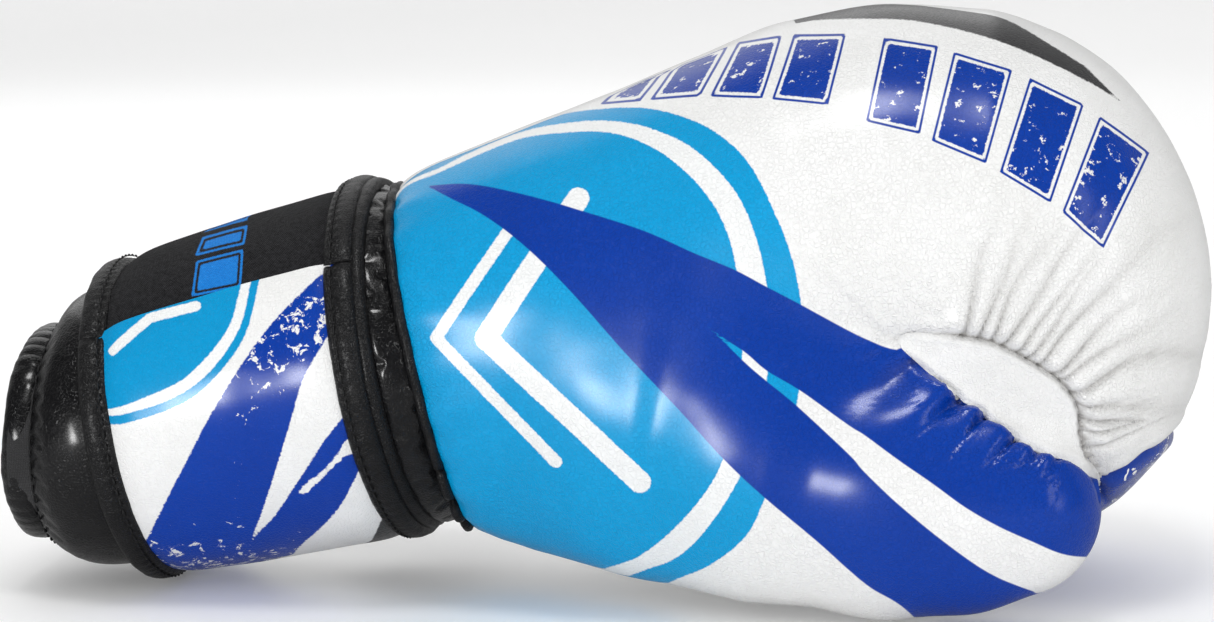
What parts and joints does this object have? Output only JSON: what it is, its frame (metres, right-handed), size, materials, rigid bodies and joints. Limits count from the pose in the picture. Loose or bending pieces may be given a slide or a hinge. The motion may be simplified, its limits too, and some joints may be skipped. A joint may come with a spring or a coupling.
{
  "type": "boxing glove",
  "caption": "Padded left-hand boxing glove with a sewn thumb on a short joint, a padded cuff and a hook-and-loop wrist strap that unwraps.",
  "frame": {"origin": "centre of the bounding box in plan, at the plane the glove rests on, palm down", "axes": "+X from the cuff opening towards the fist, +Z out of the back of the hand, -Y the thumb side"},
  "size_m": [0.2988, 0.1424, 0.1432],
  "materials": {
    "white_leather": "satin grained leatherette with printed graphics",
    "blue_leather": "satin grained leatherette",
    "black_leather": "glossy creased leatherette",
    "binding_tape": "satin binding tape with a stitch line",
    "elastic_knit": "ribbed knitted elastic",
    "grey_foam": "closed-cell foam",
    "pale_foam": "latex foam",
    "lining": "matte woven lining",
    "hook_tape": "hook tape",
    "loop_tape": "brushed loop tape"
  },
  "bodies": {
    "mitt": {"outer_shell": "white_leather", "palm_shell": "white_leather", "finger_shell": "blue_leather", "thumb_gusset": "white_leather", "foam_outer_layer": "pale_foam", "foam_middle_slab": "grey_foam", "foam_base_layer": "pale_foam", "palm_pad": "grey_foam", "thumb_base_pad": "grey_foam", "hand_lining": "lining", "grip_bar": "grey_foam", "wrist_binding": "binding_tape"},
    "thumb": {"thumb_shell": "blue_leather", "thumb_pad": "pale_foam", "thumb_lining": "lining"},
    "cuff": {"neck_sleeve": "black_leather", "cuff_cover": "black_leather", "cuff_foam": "grey_foam", "cuff_lining": "lining", "cuff_gusset": "elastic_knit", "rim_roll": "black_leather", "rim_binding": "binding_tape", "loop_patch": "loop_tape", "strap_anchor": "white_leather", "anchor_binding_front": "binding_tape", "anchor_binding_rear": "binding_tape"},
    "strap_elastic": {"elastic_band": "elastic_knit", "elastic_binding_front": "binding_tape", "elastic_binding_rear": "binding_tape"},
    "strap_panel": {"strap_panel": "white_leather", "strap_panel_backing": "grey_foam", "panel_binding_front": "binding_tape", "panel_binding_rear": "binding_tape"},
    "strap_tip": {"strap_tip": "white_leather", "strap_tip_backing": "grey_foam", "hook_patch": "hook_tape", "tip_binding": "binding_tape"}
  },
  "joints": [
    {"name": "wrist_flex", "type": "hinge", "parent": "mitt", "child": "cuff", "pos_m": [-0.05511, 0.0028, 0.09847], "axis": [0, 1, 0], "range_deg": [0, 12], "deforming": ["neck_sleeve"]},
    {"name": "thumb_flex", "type": "hinge", "parent": "mitt", "child": "thumb", "pos_m": [0.0718, -0.0252, 0.0541], "axis": [-0.1736, 0, -0.9848], "range_deg": [0, 8]},
    {"name": "strap_open", "type": "hinge", "parent": "cuff", "child": "strap_elastic", "pos_m": [-0.0874, 0.04672, 0.06856], "axis": [-0.9619, 0.0094, -0.2732], "range_deg": [0, 50]},
    {"name": "strap_panel_open", "type": "hinge", "parent": "strap_elastic", "child": "strap_panel", "pos_m": [-0.09387, -0.03145, 0.07451], "axis": [-0.9517, 0.1221, -0.2818], "range_deg": [0, 60]},
    {"name": "strap_tip_open", "type": "hinge", "parent": "strap_panel", "child": "strap_tip", "pos_m": [-0.08241, -0.01871, 0.01164], "axis": [-0.9763, 0.1029, -0.1904], "range_deg": [0, 75]}
  ],
  "couplings": [
    {"joint": "strap_panel_open", "follows": "strap_open", "ratio": 1.2},
    {"joint": "strap_tip_open", "follows": "strap_open", "ratio": 1.5}
  ]
}
